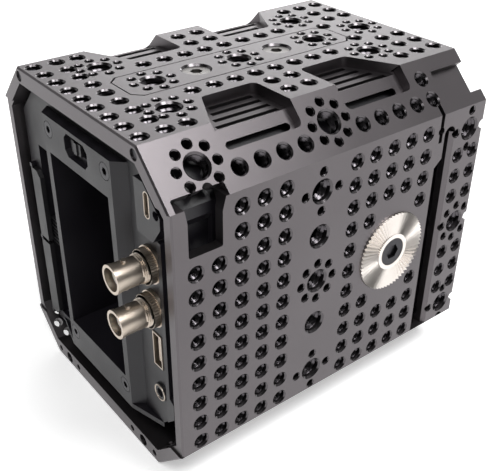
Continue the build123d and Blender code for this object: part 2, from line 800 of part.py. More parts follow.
def make_front_housing():
    """Front part of the housing, round the lens throat."""
    body = housing(throat_floor, camera_front)
    return body - [
        round_bore(0, lens_centre_z, throat_radius, throat_floor - 1, camera_front + 1),
        round_bore(release_x, lens_centre_z, release_radius + release_fit,
                   camera_front - release_depth, camera_front + 1)]


# ---------------------------------------------------------------- rear panel
switch_x = 0.4
switch_drop = 5.9            # from the upper end of the panel
switch_z = panel_high - switch_drop
switch_bezel_half_width = 8.1
switch_bezel_half_height = 4.4
switch_bezel_corner = 2.2
switch_bezel_depth = 2.2
switch_knob_width = 6.4
switch_knob_height = 4.4
switch_knob_rise = 1.4       # above the bezel's floor
switch_travel = 4.0
switch_fit = 0.1
switch_pocket_depth = 1.0


def panel_screw_points():
    """Places of the four screws of the rear panel."""
    x = panel_half - panel_screw_edge
    heights = [panel_low + panel_screw_low, panel_high - panel_screw_high]
    return [(side * x, z) for side in (-1, 1) for z in heights]


def make_rear_panel():
    plan = outline(
        (-panel_half, rear_y), (panel_half, rear_y), (panel_foot_half, rear_y + camera_rear),
        (-panel_foot_half, rear_y + camera_rear))
    panel = extrude(Plane.XY.offset(panel_low) * plan, panel_high - panel_low, dir=(0, 0, 1))
    bezel = Pos(switch_x, switch_z) * Rectangle(2 * switch_bezel_half_width, 2 * switch_bezel_half_height)
    pocket = Pos(switch_x, switch_z) * Rectangle(
        switch_knob_width + switch_travel + 2 * switch_fit, switch_knob_height + 2 * switch_fit)
    cutters = [
        along_y(rectangle(-well_half, well_half, well_low, well_high), -1, camera_rear + 1),
        along_y(chamfer(bezel.vertices(), switch_bezel_corner), -1, switch_bezel_depth),
        along_y(pocket, 0, switch_bezel_depth + switch_pocket_depth),
    ]
    for x, z in panel_screw_points():
        cutters.append(along_y(Pos(x, z) * Circle(panel_screw_recess), -1, panel_screw_depth))
        cutters.append(along_y(Pos(x, z) * Circle(panel_shank_radius), -1, camera_rear + 1))
    return panel - cutters


def make_panel_screws():
    length = camera_rear + panel_shank_reach - 0.5
    screw = Cylinder(panel_screw_radius, panel_screw_depth, align=(Align.CENTER, Align.CENTER, Align.MAX))
    screw += Cylinder(panel_shank_radius - 0.1, length, align=(Align.CENTER, Align.CENTER, Align.MAX))
    socket = RegularPolygon(panel_screw_socket / 2, 6, major_radius=False)
    screw -= into(Plane.XY, socket, panel_screw_depth - 0.6)
    return [Pos(x, rear_y, z) * Rot(90, 0, 0) * screw for x, z in panel_screw_points()]


def make_power_switch():
    """Sliding knob with a raised grip; it rests at the left end of its pocket."""
    x = switch_x - switch_travel / 2
    foot = switch_bezel_depth + switch_pocket_depth - switch_fit
    top = switch_bezel_depth - switch_knob_rise
    knob = along_y(Pos(x, switch_z) * Rectangle(switch_knob_width, switch_knob_height), top + 0.5, foot)
    grip = Pos(x, switch_z) * Rectangle(switch_knob_width / 3, switch_knob_height)
    return knob + along_y(grip, top, top + 1)


# ---------------------------------------------------------------- battery contacts
contact_block_width = 24.0
contact_block_height = 7.0
contact_block_depth = 4.0
contact_rise = 4.4           # above the lower end of the well
contact_low = well_low + contact_rise
contact_count = 3
contact_spacing = 7.0
contact_blade = 1.0
contact_blade_rise = 2.5


def make_battery_contacts():
    """Block on the floor of the battery well, with upright blades."""
    middle = contact_low + contact_block_height / 2
    face = well_floor - contact_block_depth
    block = along_y(Pos(0, middle) * Rectangle(contact_block_width, contact_block_height), face, well_floor)
    for number in range(contact_count):
        x = (number - (contact_count - 1) / 2) * contact_spacing
        blade = Pos(x, middle) * Rectangle(contact_blade, contact_block_height - 1.5)
        block += along_y(blade, face - contact_blade_rise, face + 1)
    return block


# ---------------------------------------------------------------- connectors
jack_edge = 11.7             # axis, from the side of the housing
jack_x = camera_half - jack_edge
jack_nut_radius = 6.8
jack_nut_height = 1.2
jack_collar_radius = 6.0
jack_collar_height = 2.6
jack_barrel_radius = 4.85
jack_length = 15.2           # from the body to the open end
jack_bore_radius = 4.05
jack_bore_depth = 9.0
jack_tail = 6.0              # behind the body's face
jack_lug_radius = 1.0
jack_lug_rise = 0.75
jack_lug_place = 5.2         # from the open end
jack_lip_width = 1.3
jack_lip_rise = 0.25
insulator_radius = 2.4
insulator_length = 7.0
jack_pin_radius = 0.7
jack_pin_length = 6.0

video_edge = 14.0
video_left = camera_half - video_edge
video_width = 5.5
video_height = 14.6
video_wall = 0.5
video_proud = 0.4
port_depth = 7.0

data_edge = 7.2
data_drop = 7.3              # from the upper end of the panel
data_x = camera_half - data_edge
data_z = panel_high - data_drop
data_width = 3.2
data_height = 9.4
data_wall = 0.35

audio_edge = 10.6
audio_x = camera_half - audio_edge
audio_nut_radius = 3.7
audio_nut_height = 0.9
audio_bore_radius = 3.0
audio_hole_radius = 1.8

lock_hole_edge = 2.2
lock_hole_drop = 8.7         # from the upper end of the panel
lock_hole_radius = 1.6
lock_hole_x = camera_half - lock_hole_edge
lock_hole_z = panel_high - lock_hole_drop

# The connectors stand in a column. The height of their well that they leave free is shared out
# between them, so the column keeps its order in a higher or a lower cage.
share_above = 0.20
share_between_jacks = 0.14
share_below_jacks = 0.14
share_below_video = 0.26
connector_heights = 4 * jack_nut_radius + video_height + 2 * audio_nut_radius
connector_room = port_well_high - port_well_low - connector_heights
jack_high_z = port_well_high - share_above * connector_room - jack_nut_radius
jack_low_z = jack_high_z - 2 * jack_nut_radius - share_between_jacks * connector_room
video_low = jack_low_z - jack_nut_radius - share_below_jacks * connector_room - video_height
audio_z = video_low - share_below_video * connector_room - audio_nut_radius


def jack_places():
    """Axes of the two coaxial jacks, seen along +Y."""
    return [(jack_x, jack_high_z), (jack_x, jack_low_z)]


def at_jacks(shape):
    """Copies of a shape built on the Z axis, turned to point out of each jack."""
    return [Pos(x, rear_y + camera_rear, z) * Rot(90, 0, 0) * shape for x, z in jack_places()]


def standing(radius, low, high):
    """Cylinder on the Z axis between two heights."""
    return Pos(0, 0, (low + high) / 2) * Cylinder(radius, high - low)


def make_jack_shells():
    shell = standing(jack_barrel_radius, -jack_tail + 0.5, jack_length)
    shell += standing(jack_collar_radius, jack_nut_height, jack_nut_height + jack_collar_height)
    shell += standing(jack_barrel_radius + jack_lip_rise, jack_length - jack_lip_width, jack_length)
    lug = Pos(0, 0, jack_length - jack_lug_place) * Rot(90, 0, 0)
    lug *= Cylinder(jack_lug_radius, 2 * (jack_barrel_radius + jack_lug_rise))
    shell += lug
    shell -= standing(jack_bore_radius, jack_length - jack_bore_depth, jack_length + 1)
    return at_jacks(shell)


def make_jack_nuts():
    nut = standing(jack_nut_radius, 0, jack_nut_height)
    return at_jacks(nut - standing(jack_barrel_radius, -1, jack_nut_height + 1))


def make_jack_insulators():
    floor = jack_length - jack_bore_depth
    sleeve = standing(insulator_radius, floor, floor + insulator_length)
    return at_jacks(sleeve - standing(jack_pin_radius, floor - 1, floor + insulator_length + 1))


def make_jack_pins():
    floor = jack_length - jack_bore_depth
    return at_jacks(standing(jack_pin_radius, floor, floor + jack_pin_length))


def make_video_port():
    """Tapered metal shell round a flat tongue, set in the body."""
    middle = (video_left + video_width / 2, video_low + video_height / 2)
    shell = Pos(*middle) * Rectangle(video_width, video_height)
    hole = Pos(*middle) * Rectangle(video_width - 2 * video_wall, video_height - 2 * video_wall)
    front = camera_rear - video_proud
    back = camera_rear + port_depth
    port = along_y(shell, front, back) - along_y(hole, front - 1, back - 1)
    tongue = Pos(*middle) * Rectangle(video_width / 4, video_height - 4)
    return port + along_y(tongue, front + 1, back)


def make_data_port():
    """Rounded metal shell round a flat tongue, set in the raised rim."""
    shell = Pos(data_x, data_z) * SlotOverall(data_height, data_width, rotation=90)
    hole = Pos(data_x, data_z) * SlotOverall(
        data_height - 2 * data_wall, data_width - 2 * data_wall, rotation=90)
    back = rim_step + port_depth
    port = along_y(shell, rim_step, back) - along_y(hole, 0, back - 1)
    tongue = Pos(data_x, data_z) * Rectangle(data_width / 4, data_height - 3)
    return port + along_y(tongue, rim_step + 0.8, back)


def make_audio_jack():
    nut = round_bore(audio_x, audio_z, audio_nut_radius, camera_rear - audio_nut_height, camera_rear)
    sleeve = round_bore(audio_x, audio_z, audio_bore_radius, camera_rear - 0.5, camera_rear + port_depth)
    hole = round_bore(audio_x, audio_z, audio_hole_radius, 0, camera_rear + port_depth - 1)
    return nut + sleeve - hole


# ---------------------------------------------------------------- doors and release latch
door_thickness = 1.9
door_gap = 0.1               # behind the closed doors
door_edge = 10.8             # free edge of the doors, from the side of the housing
door_overlap = 0.6           # over the lower end of the bay
door_drop = 11.0             # upper end, below the upper end of the bay
door_share = 0.537           # share of the whole height that the lower door takes
hinge_edge = 3.8             # hinge axis, from the side of the housing
door_inner = camera_half - door_edge
lower_door_low = bay_low - door_overlap
upper_door_high = bay_high - door_drop
door_split = lower_door_low + door_share * (upper_door_high - lower_door_low)
hinge_x = -(camera_half - hinge_edge)
hinge_pin_radius = 0.5
hinge_fit = 0.05
hinge_lug_half = 0.95
hinge_lug_height = 1.6
hinge_lug_clearance = 0.1
door_corner = 2.5

hinge_place = camera_rear - door_gap - door_thickness / 2
hinge_lug_heights = [
    (lower_door_low - hinge_lug_height, lower_door_low),
    (door_split - hinge_lug_height / 2, door_split + hinge_lug_height / 2),
    (upper_door_high, upper_door_high + hinge_lug_height)]

latch_side_fit = 0.2
latch_width = 4.5
latch_height = 12.0
latch_drop = 4.0             # lower end, below the middle of the bay
latch_outer = bay_outer - latch_side_fit
latch_inner = latch_outer - latch_width
latch_low = (bay_low + bay_high) / 2 - latch_drop
latch_high = latch_low + latch_height
latch_rise = 5.0             # rear face of the latch, from the rim
latch_fit = 0.1
latch_rib_count = 6
latch_rib_depth = 0.6


def hinge_pin_shape():
    """Hinge pin through all the lugs; it is also the cutter for their bores."""
    low = hinge_lug_heights[0][0]
    high = hinge_lug_heights[-1][1]
    return Pos(hinge_x, rear_y + hinge_place, (low + high) / 2) * Cylinder(hinge_pin_radius, high - low)


def make_door(low, high, cut_low):
    """Flat door with a rounded hinge edge; one corner at its free edge is cut."""
    half = door_thickness / 2
    face = outline((hinge_x, low), (-door_inner, low), (-door_inner, high), (hinge_x, high))
    corners = face.vertices().sort_by(Axis.X)[2:4].sort_by(Axis.Y)
    face = chamfer(corners[0:1] if cut_low else corners[1:2], door_corner)
    door = along_y(face, hinge_place - half, hinge_place + half)
    axis = Pos(hinge_x, rear_y + hinge_place, (low + high) / 2)
    return door + axis * Cylinder(half, high - low) - axis * Cylinder(hinge_pin_radius + hinge_fit, 2 * high)


def make_upper_door():
    low = door_split + hinge_lug_height / 2 + hinge_lug_clearance
    return make_door(low, upper_door_high - hinge_lug_clearance, False)


def make_lower_door():
    high = door_split - hinge_lug_height / 2 - hinge_lug_clearance
    return make_door(lower_door_low + hinge_lug_clearance, high, True)


def make_battery_release():
    """Ribbed latch that slides down along the wall of the bay."""
    body = along_y(rectangle(-latch_outer, -latch_inner, latch_low, latch_high),
                   latch_rise, bay_floor - latch_fit)
    step = (latch_high - latch_low) / (latch_rib_count + 0.5)
    grooves = []
    for number in range(latch_rib_count):
        middle = latch_low + (number + 0.75) * step
        grooves.append(along_y(rectangle(-latch_outer, -latch_inner, middle - step / 4, middle + step / 4),
                               latch_rise - 1, latch_rise + latch_rib_depth))
    return body - grooves


# ---------------------------------------------------------------- lens mount
mount_radius = 31.0
mount_bore = 25.5
mount_height = 6.0
mount_tab_inner = 23.6
mount_tab_thickness = 1.6
mount_tab_angle = 50
mount_screw_radius = 1.6
mount_screw_circle = 28.2
mount_screw_count = 4
mount_screw_length = 5.0
release_clear = 6.0          # axis of the release, from the edge of the mount
release_x = -(mount_radius + release_clear)
release_radius = 3.3
release_fit = 0.08
release_depth = 6.0
release_rise = 2.5
release_travel = 1.5
glass_width = 36.0
glass_height = 24.0
glass_thickness = 1.5


def lens_axis(distance):
    """Frame on the lens axis at a distance from the rim, with +Z out of the lens."""
    return Pos(0, rear_y + distance, lens_centre_z) * Rot(-90, 0, 0)


def mount_screw_points():
    """Places of the mount's screws round the lens axis."""
    return [(mount_screw_circle * cos(radians(angle)), mount_screw_circle * sin(radians(angle)))
            for angle in range(45, 405, 360 // mount_screw_count)]


def make_lens_mount():
    """Bayonet ring: a plain ring with three inner tabs at its front face."""
    ring = standing(mount_radius, 0, mount_height) - standing(mount_bore, -1, mount_height + 1)
    tab_ring = standing(mount_bore + 0.5, mount_height - mount_tab_thickness, mount_height)
    tab_ring -= standing(mount_tab_inner, -1, mount_height + 1)
    reach = 2 * mount_radius
    edge_u = reach * cos(radians(mount_tab_angle / 2))
    edge_v = reach * sin(radians(mount_tab_angle / 2))
    wedge = through(Plane.XY, outline((0, 0), (edge_u, -edge_v), (edge_u, edge_v)), 2 * mount_height)
    for angle in (90, 210, 330):
        ring += tab_ring & (Rot(0, 0, angle) * wedge)
    holes = [Pos(u, v, mount_height / 2) * Cylinder(mount_screw_radius, mount_height + 1)
             for u, v in mount_screw_points()]
    return lens_axis(camera_front) * (ring - holes)


def make_mount_screws():
    screw = standing(mount_screw_radius, mount_height - mount_screw_length, mount_height - 0.3)
    return [lens_axis(camera_front) * Pos(u, v) * screw for u, v in mount_screw_points()]


def make_sensor_glass():
    glass = Pos(0, 0, glass_thickness / 2) * Box(glass_width, glass_height, glass_thickness)
    return lens_axis(throat_floor) * glass


def make_release_button():
    button = standing(release_radius, release_travel - release_depth + 0.2, release_rise)
    return lens_axis(camera_front) * Pos(release_x, 0) * button


# ---------------------------------------------------------------- all nodes
save("top_plate", make_top_plate())
save("top_insert_plate", make_insert_plate())
save("insert_screws", make_insert_screws())
save("corner_screws", make_corner_screws())
save("side_plate_right", make_side_plate_right())
save("side_plate_left", make_side_plate_left())
save("rosette", make_rosette())
save("rosette_screw", make_rosette_screw())
save("base_plate", make_base_plate())
save("front_frame", make_front_frame())
save("rear_housing", make_rear_housing())
save("camera_body", make_camera_body())
save("front_housing", make_front_housing())
save("rear_panel", make_rear_panel())
save("panel_screws", make_panel_screws())
save("power_switch", make_power_switch())
save("battery_contacts", make_battery_contacts())
save("jack_shells", make_jack_shells())
save("jack_nuts", make_jack_nuts())
save("jack_insulators", make_jack_insulators())
save("jack_pins", make_jack_pins())
save("video_port", make_video_port())
save("data_port", make_data_port())
save("audio_jack", make_audio_jack())
save("door_hinge_pin", hinge_pin_shape())
save("upper_door", make_upper_door())
save("lower_door", make_lower_door())
save("battery_release", make_battery_release())
save("lens_mount", make_lens_mount())
save("mount_screws", make_mount_screws())
save("sensor_glass", make_sensor_glass())
save("lens_release_button", make_release_button())
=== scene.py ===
# %% [markdown]
# # A camera cage with its camera
# The object is a shell of black anodised plates, drilled all over with threaded holes, round a box
# camera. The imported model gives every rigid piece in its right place. This lesson adds what the
# model leaves plain: the finishes, the chamfers and threads of the holes, the seam and the screws of
# the long insert, and the small parts of the connectors. The first cell loads the model.

# %% Load the model
import json
import math
import bmesh
import bpy
from mathutils import Matrix, Quaternion, Vector
from mathutils.kdtree import KDTree


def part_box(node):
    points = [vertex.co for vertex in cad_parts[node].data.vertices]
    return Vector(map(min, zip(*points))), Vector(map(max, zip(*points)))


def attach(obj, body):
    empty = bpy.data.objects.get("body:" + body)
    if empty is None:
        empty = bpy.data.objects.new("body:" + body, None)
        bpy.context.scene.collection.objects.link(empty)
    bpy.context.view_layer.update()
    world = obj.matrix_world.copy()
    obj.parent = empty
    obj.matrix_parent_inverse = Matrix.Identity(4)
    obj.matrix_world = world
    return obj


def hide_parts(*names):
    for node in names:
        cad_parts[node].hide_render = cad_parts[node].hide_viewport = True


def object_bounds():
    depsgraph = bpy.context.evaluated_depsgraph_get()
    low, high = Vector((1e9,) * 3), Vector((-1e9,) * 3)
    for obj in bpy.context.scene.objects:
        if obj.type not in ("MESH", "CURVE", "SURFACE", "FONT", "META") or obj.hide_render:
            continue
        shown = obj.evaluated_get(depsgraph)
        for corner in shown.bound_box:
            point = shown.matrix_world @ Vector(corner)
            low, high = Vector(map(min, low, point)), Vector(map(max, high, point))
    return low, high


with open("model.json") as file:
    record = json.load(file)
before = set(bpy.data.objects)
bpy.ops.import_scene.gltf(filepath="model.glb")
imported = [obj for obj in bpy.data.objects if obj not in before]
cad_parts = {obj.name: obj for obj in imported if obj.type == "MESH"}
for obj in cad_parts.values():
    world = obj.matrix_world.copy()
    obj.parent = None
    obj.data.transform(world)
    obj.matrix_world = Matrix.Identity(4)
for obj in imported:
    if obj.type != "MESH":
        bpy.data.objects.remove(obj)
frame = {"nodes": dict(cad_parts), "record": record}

nodes = frame["nodes"]
for starter in ("Cube", "Light", "Camera"):
    if starter in bpy.data.objects:
        bpy.data.objects.remove(bpy.data.objects[starter])
mm = 0.001
cad_box = [list(corner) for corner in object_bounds()]
print("nodes loaded:", len(nodes))


# %% [markdown]
# ## The finishes
# A finish is made of shader nodes. One function turns a hex colour, as a screen shows it, to the
# linear colour that a shader needs. A second adds a node with its settings and its inputs. A third
# starts a material and gives it the coordinates of its object, so that a pattern stays in place.

# %% Small helpers for materials
def linear(code):
    """Linear colour of an sRGB hex value such as #808080."""
    parts = [int(code[start:start + 2], 16) / 255 for start in (1, 3, 5)]
    curve = [part / 12.92 if part <= 0.04045 else ((part + 0.055) / 1.055) ** 2.4 for part in parts]
    return [*curve, 1.0]


def add_node(tree, kind, inputs, **settings):
    """Add one node. Each input is given by its name or number, as a value or another node's output."""
    made = tree.nodes.new(kind)
    for name, value in settings.items():
        setattr(made, name, value)
    for name, value in inputs.items():
        if isinstance(value, bpy.types.NodeSocket):
            tree.links.new(value, made.inputs[name])
        else:
            made.inputs[name].default_value = value
    return made


def start_material(name):
    """A new material, its node tree and its object coordinates."""
    material = bpy.data.materials.new(name)
    material.use_nodes = True
    tree = material.node_tree
    tree.nodes.clear()
    place = add_node(tree, "ShaderNodeTexCoord", {}).outputs["Object"]
    return material, tree, place


def end_material(tree, shader):
    """Join the last shader to the material's output."""
    add_node(tree, "ShaderNodeOutputMaterial", {"Surface": shader.outputs[0]})


# %% [markdown]
# ## Two patterns that most finishes share
# A real surface is never one flat value. Blasted, painted and moulded surfaces have a fine grain
# that scatters a highlight, and handling leaves broad patches that are a little glossier. Both are
# noise. The grain's size is given in millimetres, and the noise scale is one over that size.

# %% Grain and patches
def noise(tree, place, size_mm, detail=2.0):
    """Noise whose blobs are about size_mm across."""
    return add_node(tree, "ShaderNodeTexNoise",
                    {"Vector": place, "Scale": 1 / (size_mm * mm), "Detail": detail}).outputs["Fac"]


def grain(tree, place, size_mm, height_mm):
    """A bump of fine grain, as a normal."""
    return add_node(tree, "ShaderNodeBump",
                    {"Height": noise(tree, place, size_mm, detail=3.0), "Strength": 1.0,
                     "Distance": height_mm * mm}).outputs["Normal"]


def between(tree, factor, low, high):
    """A value that runs from low to high as the noise goes from its dark to its light parts."""
    return add_node(tree, "ShaderNodeMapRange",
                    {"Value": factor, "From Min": 0.3, "From Max": 0.7, "To Min": low,
                     "To Max": high}).outputs["Result"]


def tinted(tree, factor, dark, light):
    """A colour between two hex values."""
    mixed = add_node(tree, "ShaderNodeMix", {"Factor": factor}, data_type="RGBA")
    mixed.inputs["A"].default_value = linear(dark)
    mixed.inputs["B"].default_value = linear(light)
    return mixed.outputs["Result"]


# %% [markdown]
# ## Black anodised aluminium
# The plates are milled from aluminium, blasted with fine beads and anodised black. The blasting
# leaves dimples of about 0.15 mm, too fine to show here, so the grain is drawn at 0.45 mm. The
# clear oxide over the black dye gives a broad grey sheen with a slightly warm tone. A metal with a
# dark grey colour and a middle roughness gives that sheen, where a plain black paint would look
# flat. Colour and roughness drift a little over about 60 mm. Threads and chamfers are cut after the
# blasting, so they are smoother and catch small, sharp lights. Their colour is darker than the
# plates': that is painted shade inside the holes. One function makes both.

# %% Make the anodised finish
black_anodised, tree, place = start_material("black_anodised_aluminium")
patches = noise(tree, place, 60.0)
shader = add_node(tree, "ShaderNodeBsdfPrincipled", {
    "Base Color": tinted(tree, between(tree, patches, 0.0, 1.0), "#5d595b", "#656163"),
    "Metallic": 1.0,
    "Roughness": between(tree, patches, 0.36, 0.42),
    "Normal": grain(tree, place, 0.45, 0.012)})
end_material(tree, shader)


def cut_anodised_painted_shade(name, dark, light, smooth, rough):
    """Anodised metal with the fine marks of a cutting tool, its colour darkened as painted shade in
    holes.
    """
    material, tree, place = start_material(name)
    shader = add_node(tree, "ShaderNodeBsdfPrincipled", {
        "Base Color": tinted(tree, noise(tree, place, 6.0), dark, light),
        "Metallic": 1.0,
        "Roughness": between(tree, noise(tree, place, 2.0), smooth, rough),
        "Normal": grain(tree, place, 0.4, 0.006)})
    end_material(tree, shader)
    return material


# The threads' darker colour is painted shade deep inside the holes.
thread_cut_painted_shade = cut_anodised_painted_shade("black_anodised_cut_threads", "#4c494c", "#585558", 0.18, 0.24)
# The chamfers' darker colour is painted shade at the mouths of the holes.
chamfer_cut_painted_shade = cut_anodised_painted_shade("black_anodised_cut_chamfers", "#504d4f", "#5b585a", 0.2, 0.26)
print("made", black_anodised.name, thread_cut_painted_shade.name, chamfer_cut_painted_shade.name)

# %% [markdown]
# ## The camera's own finishes
# The housing of the camera is die-cast and painted in a fine, dark texture. Its rear panel, doors
# and latch are moulded in black plastic, with a spark-eroded grain of about 0.35 mm. Neither shines
# like a metal: both show their own dark colour and a soft, weak gloss, which grows at a low angle.
# The insulators of the jacks are a white plastic that lets a little light in.

# %% Make the paint and the moulded plastic
camera_paint, tree, place = start_material("textured_black_paint")
shader = add_node(tree, "ShaderNodeBsdfPrincipled", {
    "Base Color": tinted(tree, noise(tree, place, 25.0), "#141217", "#1a181d"),
    "Roughness": between(tree, noise(tree, place, 18.0), 0.36, 0.46),
    "IOR": 1.42,
    "Normal": grain(tree, place, 0.4, 0.03)})
end_material(tree, shader)

black_plastic, tree, place = start_material("moulded_black_plastic")
shader = add_node(tree, "ShaderNodeBsdfPrincipled", {
    "Base Color": tinted(tree, noise(tree, place, 20.0), "#171618", "#1d1c1e"),
    "Roughness": between(tree, noise(tree, place, 12.0), 0.38, 0.48),
    "IOR": 1.49,
    "Normal": grain(tree, place, 0.35, 0.02)})
end_material(tree, shader)

white_plastic, tree, place = start_material("white_insulator_plastic")
shader = add_node(tree, "ShaderNodeBsdfPrincipled", {
    "Base Color": tinted(tree, noise(tree, place, 3.0), "#dcd8cf", "#e8e4dc"),
    "Roughness": 0.4,
    "IOR": 1.38,
    "Subsurface Weight": 0.1,
    "Subsurface Scale": 0.5 * mm})
end_material(tree, shader)
print("made", camera_paint.name, black_plastic.name, white_plastic.name)

# %% [markdown]
# ## Bright and dark metals
# The toothed disc is nickel-plated steel with a satin face. The jacks are nickel-plated brass with a
# warm, satin skin. Screws are stainless steel, or steel with a black oxide skin. Contacts are
# gold-plated. A metal is told by its colour and its roughness alone, and fine turning marks of 0.2
# to 0.25 mm break up the reflection.

# %% Make the metals
def metal(name, dark, light, smooth, rough, mark_mm, mark_height_mm):
    """A bare or plated metal with fine marks."""
    material, tree, place = start_material(name)
    drift = noise(tree, place, 8.0)
    shader = add_node(tree, "ShaderNodeBsdfPrincipled", {
        "Base Color": tinted(tree, drift, dark, light),
        "Metallic": 1.0,
        "Roughness": between(tree, drift, smooth, rough),
        "Normal": grain(tree, place, mark_mm, mark_height_mm)})
    end_material(tree, shader)
    return material


nickel_steel = metal("satin_nickel_plated_steel", "#d6cfc9", "#e6e0da", 0.28, 0.36, 0.25, 0.006)
nickel_brass = metal("satin_nickel_plated_brass", "#b3a79a", "#c6bbae", 0.34, 0.42, 0.25, 0.008)
bright_steel = metal("satin_stainless_steel", "#706d6b", "#7f7c7a", 0.26, 0.34, 0.2, 0.006)
black_steel = metal("black_oxide_steel", "#353437", "#403f42", 0.34, 0.42, 0.2, 0.006)
gold_plate = metal("gold_plated_contacts", "#d8b36a", "#e6c47e", 0.18, 0.26, 0.2, 0.004)
print("metals made")

# %% [markdown]
# ## Sensor glass
# A thin filter lies over the sensor. It is clear glass with a faint green-blue tint, smooth on both
# sides. Nothing lies behind it that light could reach, so a dark, glossy solid is enough and renders
# without noise: a dark base with the strong, sharp gloss of a coated glass.

# %% Make the glass
sensor_glass, tree, place = start_material("coated_filter_glass")
shader = add_node(tree, "ShaderNodeBsdfPrincipled", {
    "Base Color": tinted(tree, noise(tree, place, 12.0, detail=1.0), "#121b1c", "#18262a"),
    "Roughness": 0.05,
    "IOR": 1.52,
    "Coat Weight": 0.6,
    "Coat Roughness": 0.03})
end_material(tree, shader)
print("made", sensor_glass.name)

# %% [markdown]
# ## Which node has which finish
# The record names a finish for every node, so one table from those names to the materials dresses
# the whole model. The nodes' meshes aren't touched: only their material slots change.

# %% Dress the nodes
finishes = {
    "black_anodised": black_anodised,
    "camera_housing": camera_paint,
    "black_plastic": black_plastic,
    "white_plastic": white_plastic,
    "nickel_steel": nickel_steel,
    "nickel_plated": nickel_brass,
    "bright_steel": bright_steel,
    "black_steel": black_steel,
    "gold_plated": gold_plate,
    "sensor_glass": sensor_glass,
}
for node in nodes.values():
    for slot in node.material_slots:
        slot.material = finishes[slot.name]
print("dressed", len(nodes), "nodes")

# %% [markdown]
# ## Where the threads go
# The plates are drilled by the hundred, so nobody types the places of the threads: the mesh knows
# them. At the mouth of a hole, each sharp edge is a short chord of a circle, and the wall below it
# faces the middle of that circle. So each edge votes for a middle, one radius away along the wall's
# normal. Where the votes of one place cover more than half a turn there is a hole, also where two
# holes cut into each other. Only mouths that face away from the middle of the shell are kept, so
# each hole is found once. A mouth on the sunken floor under the long insert is passed over, and so
# is one that the front or rear edge of its plate cuts off.

# %% Find the mouths of the holes
quarter_radius_mm = 3.175
three_eighths_radius_mm = 4.76
pin_radius_mm = 1.9
hole_radii_mm = (quarter_radius_mm, three_eighths_radius_mm, pin_radius_mm)
merge_mm = 0.002               # points closer than this are one point
near_mm = 0.05                 # votes and heights closer than this count as equal
floor_depth_mm = 0.5           # a mouth this far below the top lies on the sunken floor
outside_mm = 20                # an outer face lies at least this far out from the middle
aligned = 0.99                 # cosine between directions that count as the same
sharp_turn = math.radians(50)
shell_top = cad_box[1][2]
shell_middle = (cad_box[0][2] + shell_top) / 2
plate_names = ("top_plate", "top_insert_plate", "side_plate_right", "side_plate_left", "base_plate",
               "front_frame")


def sharp_edges(mesh):
    """The middle, the half length and the two normals of each edge that turns sharply."""
    work = bmesh.new()
    work.from_mesh(mesh)
    bmesh.ops.remove_doubles(work, verts=work.verts, dist=merge_mm * mm)
    found = []
    for edge in work.edges:
        if len(edge.link_faces) == 2 and edge.calc_face_angle() > sharp_turn:
            ends = [vertex.co for vertex in edge.verts]
            normals = [face.normal.copy() for face in edge.link_faces]
            found.append(((ends[0] + ends[1]) / 2, (ends[0] - ends[1]).length / 2, normals))
    work.free()
    return found


def hole_mouths(plate_name, edges, radius_mm):
    """Middle and outward direction of each whole mouth of one radius in a plate."""
    radius = radius_mm * mm
    rear, front = [corner[1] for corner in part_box(plate_name)]
    votes = []
    for place, half_length, normals in edges:
        if half_length < radius / 2:
            reach = math.sqrt(radius ** 2 - half_length ** 2)
            share = math.asin(half_length / radius) / math.pi
            votes.append((place + normals[0] * reach, normals[1], share))
            votes.append((place + normals[1] * reach, normals[0], share))
    tree = KDTree(len(votes))
    for index, vote in enumerate(votes):
        tree.insert(vote[0], index)
    tree.balance()
    counted = set()
    mouths = []
    for index, (middle, outward, _) in enumerate(votes):
        sideways = Vector((middle.x, 0, middle.z - shell_middle))
        inside = outward.dot(sideways) < outside_mm * mm
        sunken = outward.z > aligned and middle.z < shell_top - floor_depth_mm * mm
        cut_off = middle.y - radius < rear or middle.y + radius > front
        if index in counted or inside or sunken or cut_off:
            continue
        same = [other for _, other, _ in tree.find_range(middle, near_mm * mm)
                if votes[other][1].dot(outward) > aligned]
        counted.update(same)
        if sum(votes[other][2] for other in same) > 0.5:
            mouths.append((middle, outward))
    return mouths


mouths = {}
for name in plate_names:
    edges = sharp_edges(nodes[name].data)
    mouths[name] = [hole_mouths(name, edges, radius_mm) for radius_mm in hole_radii_mm]
    print(name, "mouths of 1/4 inch, 3/8 inch and pin holes:", [len(found) for found in mouths[name]])

# %% [markdown]
# ## Threads and chamfers
# A tapped hole opens in a chamfer as wide as the thread's outer diameter, and the thread's V-shaped
# grooves follow below it. The far side of each chamfer and each crest catches the light, which is
# what makes such a plate look machined. The chamfer is a cone without ends. The thread starts as a
# square stood on its corner: without its inner corner it is the V of one groove, and a Screw
# modifier sweeps it down the hole.

# %% Tools for the linings
smooth_turn = math.radians(40)


def choose(piece):
    """Make one piece the only selected and active object."""
    bpy.ops.object.select_all(action="DESELECT")
    piece.select_set(True)
    bpy.context.view_layer.objects.active = piece


def apply_modifier(piece, kind, **settings):
    """Add one modifier with its settings and apply it at once."""
    modifier = piece.modifiers.new(kind.lower(), kind)
    for name, value in settings.items():
        setattr(modifier, name, value)
    bpy.ops.object.modifier_apply(modifier=modifier.name)


def join(pieces, name):
    """Join pieces into the first of them and name it."""
    choose(pieces[0])
    for piece in pieces:
        piece.select_set(True)
    bpy.ops.object.join()
    pieces[0].name = name
    return pieces[0]


def clear_points(piece):
    """Deselect every point of a piece, so that some of them can be picked one by one."""
    choose(piece)
    bpy.ops.object.mode_set(mode="EDIT")
    bpy.context.tool_settings.mesh_select_mode = (True, False, False)
    bpy.ops.mesh.select_all(action="DESELECT")
    bpy.ops.object.mode_set(mode="OBJECT")


def turn_faces(piece, inwards):
    """Turn the faces of an open tube towards its axis, the Z axis, or away from it."""
    face = piece.data.polygons[0]
    outwards = face.normal.x * face.center.x + face.normal.y * face.center.y > 0
    if inwards == outwards:
        choose(piece)
        bpy.ops.object.mode_set(mode="EDIT")
        bpy.ops.mesh.select_all(action="SELECT")
        bpy.ops.mesh.flip_normals()
        bpy.ops.object.mode_set(mode="OBJECT")


